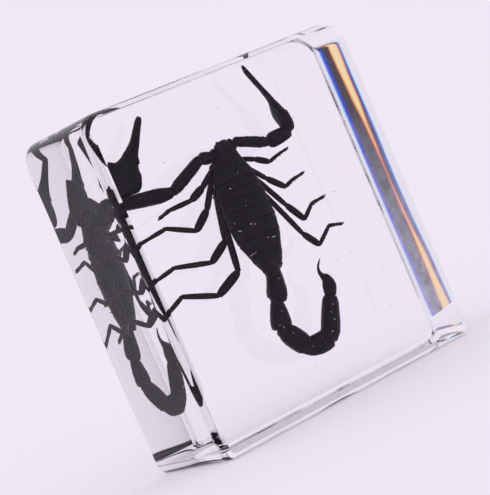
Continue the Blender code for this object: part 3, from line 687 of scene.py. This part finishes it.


# The flecks and hairlines below are painted highlights: pale pieces whose colour stands in for the glint of
# the air films.
air = Armour()
for x, z, size in BACK_GLINT_FLECKS:
    spot = on_back(x, z)
    air.form([(spot + Vector((size * k, 0, size * 0.4 * k)), size * 1.1, 0.16) for k in (-0.6, 0, 0.6)],
             TOWARDS_FRONT, sides=12, gap=0.06, caps=(size / 2, size / 2), grain=0)
for line in GLINT_HAIRLINES:
    air.form([(on_back(x, z, 0.22), 0.17, 0.17) for x, z in line], TOWARDS_FRONT, sides=10, gap=0.12,
             caps=(0.2, 0.2), grain=0)
for x, z, size in TAIL_GLINT_FLECKS:
    spot = on_tail(x, z)
    air.form([(spot + Vector((size * k * 0.5, 0, size * k)), size, 0.16) for k in (-0.6, 0, 0.6)],
             TOWARDS_FRONT, sides=12, gap=0.06, caps=(size / 2, size / 2), grain=0)
air.piece("painted_glint_films", painted_glint_white)

# ---- Resin block --------------------------------------------------------------------------------
# Clear resin cast round the animal, then ground and polished. The sides round in to the front face
# along a shallow arc that meets it in a crease; the back edges are small rounds.
WIDE, THICK, HIGH = 71.1, 28.2, 75.0
ARC_DEPTH, ARC_INSET, BACK_ROUND = 3.1, 1.2, 1.2
CORNERS = (  # side, whether at the top, radius, and the angle where it starts
    (1, 0, 2.5, -90), (1, 1, 5.5, 0), (-1, 1, 4.5, 90), (-1, 0, 2.5, 180))
CROWN = 0.3  # the right face swells by this much at mid depth
FLARE = 2.0  # and stands out this much more at the back than at the front
ARC_RADIUS = (ARC_DEPTH ** 2 + ARC_INSET ** 2) / (2 * ARC_INSET)
levels = []  # y of each ring of points, and how far in it lies
for k in range(19):
    depth = ARC_DEPTH * k / 18
    levels.append((-THICK / 2 + depth, ARC_RADIUS - sqrt(ARC_RADIUS ** 2 - (ARC_DEPTH - depth) ** 2)))
for k in range(1, 8):
    levels.append((-THICK / 2 + ARC_DEPTH + (THICK - ARC_DEPTH - BACK_ROUND) * k / 8, 0.0))
for k in range(13):
    turn = radians(90 * k / 12)
    levels.append((THICK / 2 - BACK_ROUND * (1 - sin(turn)), BACK_ROUND * (1 - cos(turn))))
shape = bmesh.new()
rings = []
for y, inset in levels:
    ring = []
    crown = CROWN * (1 - (2 * y / THICK) ** 2) + FLARE * (y / THICK + 0.5)
    for side, top, radius, start in CORNERS:
        x = side * (WIDE / 2 - radius)
        z = HIGH - radius if top else radius
        for k in range(17):
            turn = radians(start + 90 * k / 16)
            spoke = radius - inset
            bulge = crown * max(cos(turn), 0) if side > 0 else 0.0
            point = Vector((x + spoke * cos(turn) + bulge, y, z + spoke * sin(turn)))
            ring.append(shape.verts.new(point * MM))
    rings.append(ring)
for near, far in zip(rings, rings[1:]):
    for k, vert in enumerate(near):
        n = (k + 1) % len(near)
        shape.faces.new((vert, near[n], far[n], far[k]))
shape.faces.new(rings[0])
shape.faces.new(rings[-1])
bmesh.ops.recalc_face_normals(shape, faces=shape.faces)
block_mesh = bpy.data.meshes.new("resin_block")
shape.to_mesh(block_mesh)
shape.free()
block_mesh.polygons.foreach_set("use_smooth", [True] * len(block_mesh.polygons))
block_mesh.set_sharp_from_angle(angle=radians(14))

clear_resin = bpy.data.materials.new("clear_resin")
clear_resin.use_nodes = True
tree = clear_resin.node_tree
dialled(tree.nodes["Principled BSDF"],
        {"Base Color": (1, 1, 1, 1), "Roughness": 0, "Transmission Weight": 1, "IOR": 1.5})
absorb = dialled(tree.nodes.new("ShaderNodeVolumeAbsorption"),
                 {"Color": (0.62, 0.61, 0.64, 1), "Density": 2.4})
tree.links.new(absorb.outputs["Volume"], tree.nodes["Material Output"].inputs["Volume"])


def rippled(tree, scale, detail, strength, distance):
    """Gives a material's surface a faint relief of soft waves or fibres."""
    place = tree.nodes.new("ShaderNodeTexCoord")
    ripple = dialled(tree.nodes.new("ShaderNodeTexNoise"), {"Scale": scale, "Detail": detail})
    bump = dialled(tree.nodes.new("ShaderNodeBump"), {"Strength": strength, "Distance": distance})
    tree.links.new(place.outputs["Object"], ripple.inputs["Vector"])
    tree.links.new(ripple.outputs["Fac"], bump.inputs["Height"])
    tree.links.new(bump.outputs["Normal"], tree.nodes["Principled BSDF"].inputs["Normal"])


rippled(tree, 60, 1, 0.05, 0.0002)
block_mesh.materials.append(clear_resin)
carried(bpy.data.objects.new("resin_block", block_mesh), ("resin_front_half", "resin_back_half"))

# ---- Bubbles and specks -------------------------------------------------------------------------
# A few pinhead air bubbles, and specks of dust that fell in while the resin was still wet. Light bends
# at a bubble the other way round, so its index is that of air in resin.
bubble = bpy.data.materials.new("air_bubble")
bubble.use_nodes = True
dialled(bubble.node_tree.nodes["Principled BSDF"],
        {"Base Color": (1, 1, 1, 1), "Roughness": 0, "Transmission Weight": 1, "IOR": 0.667})
BUBBLES = (  # x, y and z
    (-28.5, 0.0, 50.1), (15.3, 0.0, 22.8), (15.2, 1.0, 26.4), (19.2, 0.5, 26.7), (18.2, -4.0, 19.5),
    (24.6, 3.0, 12.4), (-12.4, -6.0, 20.6), (-19.0, 2.0, 16.2), (5.2, 8.0, 67.0), (27.4, 6.0, 49.0),
    (-1.3, 0.0, 8.2), (30.1, -3.0, 33.0))
SPECKS = (
    (16.4, 0.0, 23.9), (13.1, -2.0, 26.0), (-5.4, 4.0, 69.2), (22.1, 1.0, 40.2), (-17.2, -3.0, 60.3),
    (26.0, 2.0, 20.1), (-24.1, 0.0, 12.3), (9.3, 9.0, 33.2), (1.1, -8.0, 14.4), (-10.2, 3.0, 12.1),
    (18.0, 7.0, 62.4), (-30.2, 5.0, 30.0))
floating = grower("floating", "points", "GeometryNodeMeshIcoSphere", {"Radius": MM, "Subdivisions": 2})
for name, places, material, small, large in (("air_bubbles", BUBBLES, bubble, 0.09, 0.2),
                                             ("dust_specks", SPECKS, bristle, 0.05, 0.12)):
    cloud = bpy.data.meshes.new(name + "_places")
    cloud.from_pydata([tuple(Vector(place) * MM) for place in places], [], [])
    grown(name, floating, cloud, "resin", (), Smallest=(small,) * 3, Largest=(large,) * 3, Way=(0, 0, 1),
          Seed=7, Material=material)

# ---- Studio -------------------------------------------------------------------------------------
# A pale lilac paper floor that runs into an evenly lit background of the same tone. The picture's
# blacks are set lower, because the front face mirrors a little of the pale room over the animal.
AIR = (0.87, 0.82, 0.93)
BLACK_LEVEL = 0.026
scene = bpy.context.scene
world = bpy.data.worlds.new("studio")
scene.world = world
world.use_nodes = True
world.node_tree.nodes["Background"].inputs["Color"].default_value = (*AIR, 1)
scene.view_settings.view_transform = "Standard"
scene.view_settings.use_curve_mapping = True
scene.view_settings.curve_mapping.black_level = (BLACK_LEVEL, BLACK_LEVEL, BLACK_LEVEL)
scene.view_settings.curve_mapping.update()

floor_mesh = bpy.data.meshes.new("floor")
floor_mesh.from_pydata([(-9, -9, 0), (9, -9, 0), (9, 9, 0), (-9, 9, 0)], [], [(0, 1, 2, 3)])
floor = bpy.data.objects.new("floor", floor_mesh)
scene.collection.objects.link(floor)
paper = bpy.data.materials.new("pale_paper")
paper.use_nodes = True
dialled(paper.node_tree.nodes["Principled BSDF"],
        {"Base Color": (0.7, 0.7, 0.7, 1), "Roughness": 1, "Specular IOR Level": 0,
         "Emission Color": (*AIR, 1), "Emission Strength": 0.3})
rippled(paper.node_tree, 900, 2, 0.02, 0.0001)
floor_mesh.materials.append(paper)

# ---- Split light --------------------------------------------------------------------------------
# The right face throws light back and splits its colours, which one index for all colours can't do.
# So a glowing strip stands behind the block, lit only in light thrown back inside the resin: a dim
# ground, a waist-shaped patch and two margins, whose edges lie apart in red, green and blue.
STRIP_PLACE = Vector((-0.56, 0.83, 0)).normalized() * 80 * MM
STRIP_ACROSS = Vector((0.83, 0.56, 0)).normalized()
STRIP_CORNERS = ((34, 0.2), (56, 0.2), (56, 90), (34, 90))  # distance across, and height
PATCH_MIDDLE, PATCH_HALF, MARGIN_EDGE = 47.3, 2.5, 48.9
RAMP_TOP = 72  # the height at the upper end of each table below
PATCH_WIDTHS = ((0, 0.95), (12, 0.70), (24, 0.38), (36, 0.25), (46, 0.42), (56, 0.72), (68, 0.95))
MARGIN_SHIFTS = ((0, 0.9), (24, 0.5), (36, 0.3), (50, 0.6), (66, 0.85))
GROUND_TONES = ((0, 0.36), (24, 0.27), (36, 0.17), (48, 0.11), (53, 0.045), (70, 0.04))
CHANNELS = (  # air tone, patch's tone, how much wider and softer it is, margins' edges, ground's tint
    ("Red", AIR[0], 0.88, 0.15, 0.9, 0.0, 41.2, 0.98),
    ("Green", AIR[1], 0.70, -0.12, 1.1, 0.25, 41.9, 0.92),
    ("Blue", AIR[2], 0.42, -0.25, 1.3, 0.8, 43.2, 1.18),
)
strip_mesh = bpy.data.meshes.new("split_light")
strip_mesh.from_pydata([tuple(STRIP_PLACE + STRIP_ACROSS * s * MM + Vector((0, 0, z)) * MM)
                        for s, z in STRIP_CORNERS], [], [(0, 1, 2, 3)])
strip = bpy.data.objects.new("split_light", strip_mesh)
scene.collection.objects.link(strip)
strip.visible_camera = False
strip.visible_diffuse = False
strip.visible_shadow = False
glow = bpy.data.materials.new("split_light")
glow.use_nodes = True
glow.node_tree.nodes.clear()
nodes, link = glow.node_tree.nodes, glow.node_tree.links.new


def maths(operation, *values):
    """A maths node; each value is a number for its socket or another node's output."""
    node = nodes.new("ShaderNodeMath")
    node.operation = operation
    for socket, value in zip(node.inputs, values):
        if isinstance(value, (int, float)):
            socket.default_value = value
        else:
            link(value, socket)
    return node.outputs["Value"]


place = nodes.new("ShaderNodeTexCoord")
across = nodes.new("ShaderNodeVectorMath")
across.operation = "DOT_PRODUCT"
across.inputs[1].default_value = STRIP_ACROSS
height = nodes.new("ShaderNodeSeparateXYZ")
waver = dialled(nodes.new("ShaderNodeTexNoise"), {"Scale": 40, "Detail": 4})
mottle = dialled(nodes.new("ShaderNodeTexNoise"), {"Scale": 420, "Detail": 5})
for socket in (across.inputs[0], height.inputs["Vector"], waver.inputs["Vector"], mottle.inputs["Vector"]):
    link(place.outputs["Object"], socket)
up = maths("DIVIDE", height.outputs["Z"], RAMP_TOP * MM)
wavy = maths("MULTIPLY_ADD", waver.outputs["Fac"], 1.2, -0.6)
along = maths("MULTIPLY_ADD", across.outputs["Value"], 1000, wavy)


def by_height(points):
    """A value that follows the height on the strip, from pairs of millimetres and value."""
    ramp = nodes.new("ShaderNodeValToRGB")
    ramp.color_ramp.interpolation = "EASE"
    while len(ramp.color_ramp.elements) < len(points):
        ramp.color_ramp.elements.new(0.5)
    for element, (at, value) in zip(ramp.color_ramp.elements, points):
        element.position = at / RAMP_TOP
        element.color = (value, value, value, 1)
    link(up, ramp.inputs["Fac"])
    return ramp.outputs["Color"]


def rising(distance, soft, tone):
    """Rises from nothing at distance 0 to the tone at the distance soft, and stays there."""
    return maths("MULTIPLY", maths("MINIMUM", maths("DIVIDE", distance, soft), 1.0), tone)


off_middle = maths("ABSOLUTE", maths("SUBTRACT", along, PATCH_MIDDLE))
half = maths("MULTIPLY", by_height(PATCH_WIDTHS), PATCH_HALF)
margin = maths("ADD", by_height(MARGIN_SHIFTS), MARGIN_EDGE)
ground = maths("MULTIPLY", by_height(GROUND_TONES), maths("MULTIPLY_ADD", mottle.outputs["Fac"], 1.3, 0.35))
join = nodes.new("ShaderNodeCombineColor")
for channel, air_tone, bright, wider, soft, early, left_edge, tint in CHANNELS:
    inside = maths("SUBTRACT", maths("ADD", half, wider), off_middle)
    patch = maths("MULTIPLY", maths("SMOOTH_MIN", maths("DIVIDE", inside, soft), 1.0, 0.3), bright)
    right = rising(maths("SUBTRACT", maths("ADD", along, early), margin), 0.9, 0.93 * air_tone)
    left = rising(maths("SUBTRACT", left_edge, along), 1.6, 0.85 * air_tone)
    lit = maths("MAXIMUM", patch, maths("MAXIMUM", right, left))
    link(maths("MAXIMUM", lit, maths("MULTIPLY", ground, tint)), join.inputs[channel])
shine = nodes.new("ShaderNodeEmission")
see_through = nodes.new("ShaderNodeBsdfTransparent")
path = nodes.new("ShaderNodeLightPath")
show = nodes.new("ShaderNodeMixShader")
output = nodes.new("ShaderNodeOutputMaterial")
for source, target in (
    (join.outputs["Color"], shine.inputs["Color"]),
    (maths("GREATER_THAN", path.outputs["Ray Depth"], 2.5), show.inputs["Fac"]),
    (see_through.outputs["BSDF"], show.inputs[1]),
    (shine.outputs["Emission"], show.inputs[2]),
    (show.outputs["Shader"], output.inputs["Surface"]),
):
    link(source, target)
strip_mesh.materials.append(glow)
